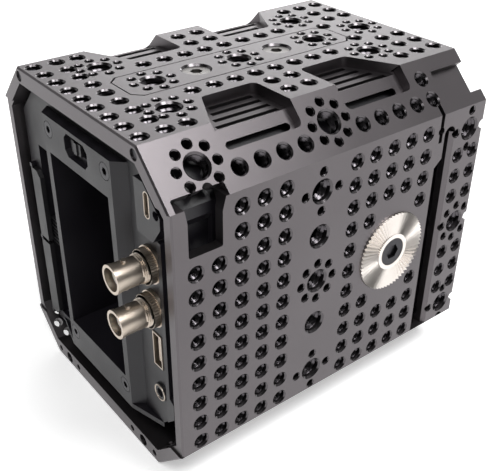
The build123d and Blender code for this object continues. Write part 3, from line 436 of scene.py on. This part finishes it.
def chamfer(mouth_mm, inner_mm, sides):
    """The cone at the mouth of a hole: as deep as it narrows, its wide end at height 0."""
    depth = (mouth_mm - inner_mm) * mm
    bpy.ops.object.select_all(action="DESELECT")
    bpy.ops.mesh.primitive_cone_add(vertices=sides, radius1=inner_mm * mm, radius2=mouth_mm * mm,
                                    depth=depth, end_fill_type="NOTHING", location=(0, 0, -depth / 2))
    bpy.ops.object.transform_apply()
    cone = bpy.context.object
    turn_faces(cone, inwards=True)
    bpy.ops.object.shade_smooth_by_angle(angle=smooth_turn)
    # The chamfer finish is darker than the plates: painted shade at the mouth of a hole.
    cone.data.materials.append(chamfer_cut_painted_shade)
    return cone


def thread(outer_mm, inner_mm, pitch_mm, turns, steps, finish, inwards):
    """The V grooves below a chamfer, with so many steps in each turn."""
    start = (outer_mm - inner_mm + pitch_mm / 2) * mm
    bpy.ops.object.select_all(action="DESELECT")
    bpy.ops.mesh.primitive_plane_add(size=math.sqrt(2),
                                     rotation=(math.radians(90), math.radians(45), 0))
    bpy.ops.object.transform_apply()
    groove = bpy.context.object
    groove.scale = ((outer_mm - inner_mm) * mm, 1, pitch_mm / 2 * mm)
    groove.location = (inner_mm * mm, 0, -start)
    bpy.ops.object.transform_apply()
    clear_points(groove)
    inner_corner = min(groove.data.vertices, key=lambda vertex: vertex.co.x)
    inner_corner.select = True
    bpy.ops.object.mode_set(mode="EDIT")
    bpy.ops.mesh.delete(type="VERT")
    bpy.ops.object.mode_set(mode="OBJECT")
    all_steps = round(steps * turns)
    apply_modifier(groove, "SCREW", angle=2 * math.pi * turns, screw_offset=-pitch_mm * turns * mm,
                   steps=all_steps, render_steps=all_steps, use_merge_vertices=False)
    turn_faces(groove, inwards)
    bpy.ops.object.shade_smooth_by_angle(angle=smooth_turn)
    groove.data.materials.append(finish)
    return groove


def set_into(tool, places):
    """Copies of a tool, each with its own mesh, turned and moved to a middle and an outward direction."""
    copies = []
    for middle, outward in places:
        copy = bpy.data.objects.new(tool.name, tool.data.copy())
        turn = outward.to_track_quat("Z", "Y").to_matrix().to_4x4()
        copy.data.transform(Matrix.Translation(middle) @ turn)
        bpy.context.scene.collection.objects.link(copy)
        copies.append(copy)
    return copies


# %% [markdown]
# ## A lining for every hole
# Each lining is made once, with few faces because it is repeated by the hundred, and a copy is then
# set into each hole. The side plates are thinner than the others, so their threads have fewer turns.
# All linings of a plate are joined to one piece, and the patterns themselves are deleted at the end.

# %% Line the holes
inch_mm = 25.4
quarter_pitch_mm = inch_mm / 20
three_eighths_pitch_mm = inch_mm / 16
quarter_crest_mm = 2.62        # radius at the crests, where the chamfer ends too
three_eighths_crest_mm = 4.05
pin_bore_mm = 1.5
quarter_steps = 10             # faces round one turn of a thread, and half of those round its chamfer
three_eighths_steps = 14
pin_sides = 14


def tapped_lining(radius_mm, crest_mm, pitch_mm, turns, steps, name):
    """The thread and the chamfer of one tapped hole, in one piece."""
    return join([thread(radius_mm, crest_mm, pitch_mm, turns, steps, thread_cut_painted_shade, inwards=True),
                 chamfer(radius_mm, crest_mm, 2 * steps)], name)


linings = {}
for plate, quarter_turns, three_eighths_turns in (("thin", 2.5, 2), ("thick", 3.5, 2.5)):
    linings[plate] = (
        tapped_lining(quarter_radius_mm, quarter_crest_mm, quarter_pitch_mm, quarter_turns,
                      quarter_steps, "quarter_lining"),
        tapped_lining(three_eighths_radius_mm, three_eighths_crest_mm, three_eighths_pitch_mm,
                      three_eighths_turns, three_eighths_steps, "three_eighths_lining"))
pin_lining = chamfer(pin_radius_mm, pin_bore_mm, pin_sides)

for name in plate_names:
    plate = "thin" if name.startswith("side_plate") else "thick"
    copies = []
    for lining, places in zip((*linings[plate], pin_lining), mouths[name]):
        copies += set_into(lining, places)
    threads = join(copies, name + "_threads")
    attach(threads, "cage")
    print(threads.name, len(copies), "holes,", len(threads.data.polygons), "faces")
for lining in (*linings["thin"], *linings["thick"], pin_lining):
    bpy.data.objects.remove(lining)

# %% [markdown]
# ## The seam round the insert
# The long insert lies flush in the top, and its edge is drawn in a little so that it can be dropped
# in. That is what draws the dark line round it. A copy of the node, with its points merged so that
# its faces hang together, replaces it. Its upper points near its sides and ends are selected and
# scaled towards the middle of the insert. Flat shading keeps the large face even.

# %% Draw in the insert's edge
seam_mm = 0.4
end_zone_mm = 3.6              # the slanted corners of the insert lie this near its ends


def merged_copy(node_name, name):
    """A copy of a node with its points merged, for a piece that replaces the node."""
    copy = bpy.data.objects.new(name, nodes[node_name].data.copy())
    bpy.context.scene.collection.objects.link(copy)
    choose(copy)
    apply_modifier(copy, "WELD", merge_threshold=merge_mm * mm)
    return copy


insert = merged_copy("top_insert_plate", "insert_with_seam")
low, high = [Vector(corner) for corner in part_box("top_insert_plate")]
half = (high - low) / 2
middle = (high + low) / 2
clear_points(insert)
for vertex in insert.data.vertices:
    from_middle = vertex.co - middle
    at_top = vertex.co.z > high.z - near_mm * mm
    at_side = abs(from_middle.x) > half.x - near_mm * mm
    at_end = abs(from_middle.y) > half.y - end_zone_mm * mm
    vertex.select = at_top and (at_side or at_end)
print("points on the insert's outline:", sum(vertex.select for vertex in insert.data.vertices))
bpy.ops.object.mode_set(mode="EDIT")
bpy.ops.transform.resize(value=(1 - seam_mm * mm / half.x, 1 - seam_mm * mm / half.y, 1),
                         center_override=tuple(middle))
bpy.ops.object.mode_set(mode="OBJECT")
bpy.ops.object.shade_flat()
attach(insert, "cage")
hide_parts("top_insert_plate")
print(insert.name, "has", len(insert.data.polygons), "faces")

# %% [markdown]
# ## The sunken screws of the insert
# The insert's two screws lie below the surface, in a dark conical seat, so that nothing bolted onto
# the top touches them. A merged copy of the screws replaces the node. Its upper points are moved
# down, and a cone as deep as that closes the gap between the edge of the hole and the lower head.

# %% Sink the insert's screws
screw_sink_mm = 0.8
seat_radius_mm = 5.75
seat_sides = 40
screws = merged_copy("insert_screws", "insert_screws_sunk")
low, high = [Vector(corner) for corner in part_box("insert_screws")]
clear_points(screws)
for vertex in screws.data.vertices:
    vertex.select = vertex.co.z > high.z - near_mm * mm
print("points on the screws' tops:", sum(vertex.select for vertex in screws.data.vertices))
bpy.ops.object.mode_set(mode="EDIT")
bpy.ops.transform.translate(value=(0, 0, -screw_sink_mm * mm))
bpy.ops.object.mode_set(mode="OBJECT")
bpy.ops.object.shade_flat()
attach(screws, "cage")
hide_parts("insert_screws")

head_radius = (high.x - low.x) / 2
# The seat takes the chamfers' darker finish, whose colour is painted shade in the recess.
cone = chamfer(seat_radius_mm, seat_radius_mm - screw_sink_mm, seat_sides)
upwards = Vector((0, 0, 1))
cones = set_into(cone, [(Vector((0, y, shell_top)), upwards)
                        for y in (low.y + head_radius, high.y - head_radius)])
seats = join(cones, "insert_screw_seats")
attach(seats, "cage")
bpy.data.objects.remove(cone)
print("made", screws.name, "and", seats.name)

# %% [markdown]
# ## Knurls and threads of the coaxial jacks
# A bayonet jack is held by a nut on a threaded neck, and its collar is knurled for the fingers. The
# knurl is a cylinder whose every second edge is drawn in. The neck's thread uses the same function
# as the holes, with its faces turned outwards. Both are made round the Z axis and set onto the two
# jacks, whose open ends are mounts in the record.

# %% Dress the jacks
collar_tip_mm = 6.3            # radius at the tips of the teeth
collar_root_mm = 5.95
collar_length_mm = 2.6
collar_start_mm = 11.4         # from the open end of the jack
knurl_teeth = 40
neck_crest_mm = 5.25
neck_root_mm = 4.86
neck_pitch_mm = 0.7
neck_turns = 3
neck_steps = 24
neck_start_mm = 8.6            # from the open end of the jack
jack_ends = [Vector(mount["pos_m"]) for mount in frame["record"]["mounts"] if "jack" in mount["name"]]


def knurled_ring(tip_mm, root_mm, length_mm, teeth):
    """A closed ring of teeth round the Z axis, with its outer end at height 0."""
    halfway = (0, 0, -length_mm / 2 * mm)
    bpy.ops.object.select_all(action="DESELECT")
    bpy.ops.mesh.primitive_cylinder_add(vertices=2 * teeth, radius=tip_mm * mm, depth=length_mm * mm,
                                        end_fill_type="NGON", location=halfway)
    bpy.ops.object.transform_apply()
    ring = bpy.context.object
    clear_points(ring)
    for vertex in ring.data.vertices:
        edge_number = round(math.atan2(vertex.co.y, vertex.co.x) / math.pi * teeth)
        vertex.select = edge_number % 2 == 0
    bpy.ops.object.mode_set(mode="EDIT")
    narrow = root_mm / tip_mm
    bpy.ops.transform.resize(value=(narrow, narrow, 1), center_override=halfway)
    bpy.ops.object.mode_set(mode="OBJECT")
    ring.data.materials.append(nickel_brass)
    return ring


def set_onto_jacks(tool, start_mm):
    """Copies of a tool on both jacks, so far from their open ends."""
    rearwards = Vector((0, -1, 0))
    return set_into(tool, [(end - start_mm * mm * rearwards, rearwards) for end in jack_ends])


knurl = knurled_ring(collar_tip_mm, collar_root_mm, collar_length_mm, knurl_teeth)
neck = thread(neck_crest_mm, neck_root_mm, neck_pitch_mm, neck_turns, neck_steps, nickel_brass,
              inwards=False)
jack_dress = join(set_onto_jacks(knurl, collar_start_mm) + set_onto_jacks(neck, neck_start_mm),
                  "jack_knurls_and_threads")
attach(jack_dress, "cage")
for tool in (knurl, neck):
    bpy.data.objects.remove(tool)
print(jack_dress.name, len(jack_ends), "jacks,", len(jack_dress.data.polygons), "faces")

# %% [markdown]
# ## The bright ring of the audio jack
# The audio jack's socket ends in a thin turned ring of plated metal. A ring that is round in
# section is a torus, and it is let halfway into the face of the nut.

# %% Make the audio jack's ring
ring_radius_mm = 3.1
wire_radius_mm = 0.28
low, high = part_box("audio_jack")
face_middle = ((low[0] + high[0]) / 2, low[1], (low[2] + high[2]) / 2)
bpy.ops.object.select_all(action="DESELECT")
bpy.ops.mesh.primitive_torus_add(major_radius=ring_radius_mm * mm, minor_radius=wire_radius_mm * mm,
                                 major_segments=48, minor_segments=10,
                                 location=face_middle, rotation=(math.radians(90), 0, 0))
bpy.ops.object.transform_apply()
audio_ring = bpy.context.object
audio_ring.name = "audio_jack_ring"
bpy.ops.object.shade_smooth()
audio_ring.data.materials.append(nickel_brass)
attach(audio_ring, "cage")
print("made", audio_ring.name)

# %% [markdown]
# ## The studio
# The object stands on a plain white floor in a white room. A dark satin metal shows its shape by
# what it mirrors, so the room has bright and dark parts, and soft lamps add to them. The room is
# dark behind the camera, so chamfers and walls that face the camera draw dark lines.

# %% [markdown]
# ## The floor
# The floor is a sheet of white paper. Light Path lets it glow only for the camera, for mirrored rays
# and for rays through glass, so it is white in the picture and in the metal, and still takes the
# object's shadow. Near the object, where the lamps add the rest, the glow is only about half of
# white. Farther off, where the lamps no longer reach, it is full white.

# %% Floor
floor_size = 8.0               # in metres, as are the two distances
near_distance = 0.3
far_distance = 0.9
near_glow = 0.45
bpy.ops.object.select_all(action="DESELECT")
bpy.ops.mesh.primitive_plane_add(size=floor_size)
floor = bpy.context.object
floor.name = "floor"

floor_finish, tree, place = start_material("white_studio_paper")
path = add_node(tree, "ShaderNodeLightPath", {})
seen = path.outputs["Is Camera Ray"]
for kind in ("Is Glossy Ray", "Is Transmission Ray"):
    seen = add_node(tree, "ShaderNodeMath", {0: seen, 1: path.outputs[kind]},
                    operation="MAXIMUM").outputs[0]
distance = add_node(tree, "ShaderNodeVectorMath", {0: place}, operation="LENGTH").outputs["Value"]
paper_glow = add_node(tree, "ShaderNodeMapRange",
                      {"Value": distance, "From Min": near_distance, "From Max": far_distance,
                       "To Min": near_glow, "To Max": 1.0}).outputs["Result"]
glow = add_node(tree, "ShaderNodeMath", {0: seen, 1: paper_glow}, operation="MULTIPLY").outputs[0]
paper = add_node(tree, "ShaderNodeBsdfDiffuse", {"Color": linear("#f0f0f0")})
light = add_node(tree, "ShaderNodeEmission", {"Color": linear("#ffffff"), "Strength": glow})
end_material(tree, add_node(tree, "ShaderNodeAddShader", {0: paper.outputs[0], 1: light.outputs[0]}))
floor.data.materials.append(floor_finish)
print("made", floor.name)

# %% [markdown]
# ## The room
# The room has a bright band at middle height, as white walls lit from below have, and a dark ceiling
# above it, which leaves the sloping corners darker towards the front. The band fades towards the
# side of the camera. A height is the sine of the angle above the horizon. The camera itself sees
# plain white, so the background needs no extra light.

# %% World
dark_wall = 0.05
bright_wall = 0.8
wall_stops = ((0.23, dark_wall), (0.28, bright_wall), (0.57, bright_wall), (0.63, dark_wall))
away_from_camera = (-0.79, 0.61, 0.0)
camera_side_share = 0.1        # what is left of the light on the camera's side
world = bpy.data.worlds.new("studio")
bpy.context.scene.world = world
world.use_nodes = True
tree = world.node_tree
tree.nodes.clear()
direction = add_node(tree, "ShaderNodeTexCoord", {}).outputs["Generated"]
height = add_node(tree, "ShaderNodeSeparateXYZ", {"Vector": direction}).outputs["Z"]
walls = add_node(tree, "ShaderNodeValToRGB", {"Fac": height})
for end in walls.color_ramp.elements:
    end.color = (dark_wall, dark_wall, dark_wall, 1.0)
for stop, strength in wall_stops:
    element = walls.color_ramp.elements.new(stop)
    element.color = (strength, strength, strength, 1.0)
beyond = add_node(tree, "ShaderNodeVectorMath", {0: direction, 1: away_from_camera},
                  operation="DOT_PRODUCT").outputs["Value"]
lit_side = add_node(tree, "ShaderNodeMapRange",
                    {"Value": beyond, "From Min": -0.5, "From Max": 0.3,
                     "To Min": camera_side_share, "To Max": 1.0}).outputs["Result"]
room = add_node(tree, "ShaderNodeMath", {0: walls.outputs[0], 1: lit_side},
                operation="MULTIPLY").outputs[0]
path = add_node(tree, "ShaderNodeLightPath", {})
level = add_node(tree, "ShaderNodeMix", {"Factor": path.outputs["Is Camera Ray"], "A": room, "B": 1.0},
                 data_type="FLOAT")
sky = add_node(tree, "ShaderNodeBackground", {"Color": linear("#ffffff"), "Strength": level.outputs[0]})
add_node(tree, "ShaderNodeOutputWorld", {"Surface": sky.outputs[0]})
print("made the room:", world.name)

# %% [markdown]
# ## The lamps
# Two soft lamps stand high up, one on the right and one nearer to the camera, and light the right
# side and the sloping corner. A long, low softbox and a large lamp behind the object brighten the
# faces that are seen at a low angle. Each lamp is placed by two angles, its height above the
# horizon and its turn from the object's right side, and it points at the middle of the object.

# %% Lamps
lamp_distance_mm = 1100


def soft_lamp(name, height_degrees, turn_degrees, size_mm, watts):
    """A softbox that points at the middle of the object, placed by its height and turn."""
    data = bpy.data.lights.new(name, "AREA")
    data.shape = "RECTANGLE"
    data.size, data.size_y = [length * mm for length in size_mm]
    data.energy = watts
    up = math.radians(height_degrees)
    turn = math.radians(turn_degrees)
    line = Vector((math.cos(up) * math.cos(turn), math.cos(up) * math.sin(turn), math.sin(up)))
    lamp = bpy.data.objects.new(name, data)
    lamp.location = Vector((0, 0, shell_middle)) + lamp_distance_mm * mm * line
    lamp.rotation_mode = "QUATERNION"
    lamp.rotation_quaternion = (-line).to_track_quat("-Z", "Y")
    lamp.visible_camera = False
    bpy.context.scene.collection.objects.link(lamp)


soft_lamp("high_right_lamp", 60, 25, (450, 450), 9.2)
soft_lamp("high_near_lamp", 60, 315, (450, 450), 5.4)
soft_lamp("low_back_softbox", 7.5, 135, (900, 280), 5.2)
soft_lamp("back_lamp", 35, 150, (900, 900), 2.6)

# %% [markdown]
# ## The camera
# The view is from the rear right, a little above. A long lens of about 58 mm gives the perspective.

# %% Camera
camera_place = Vector((223.73, -171.38, 232.33)) * mm
view_line = Vector((-0.66740, 0.52000, -0.53308))
camera_roll = math.radians(0.33)

camera_data = bpy.data.cameras.new("camera")
camera_data.lens = 58.52
camera_data.sensor_width = 36.0
camera_data.clip_start = 1 * mm
camera = bpy.data.objects.new("camera", camera_data)
camera.location = camera_place
camera.rotation_mode = "QUATERNION"
camera.rotation_quaternion = view_line.to_track_quat("-Z", "Y") @ Quaternion((0, 0, 1), camera_roll)
bpy.context.scene.collection.objects.link(camera)
bpy.context.scene.camera = camera
print("camera placed")

# %% [markdown]
# ## The last step
# Plain Standard colour shows each finish as it was written.

# %% Finish
bpy.context.scene.view_settings.view_transform = "Standard"
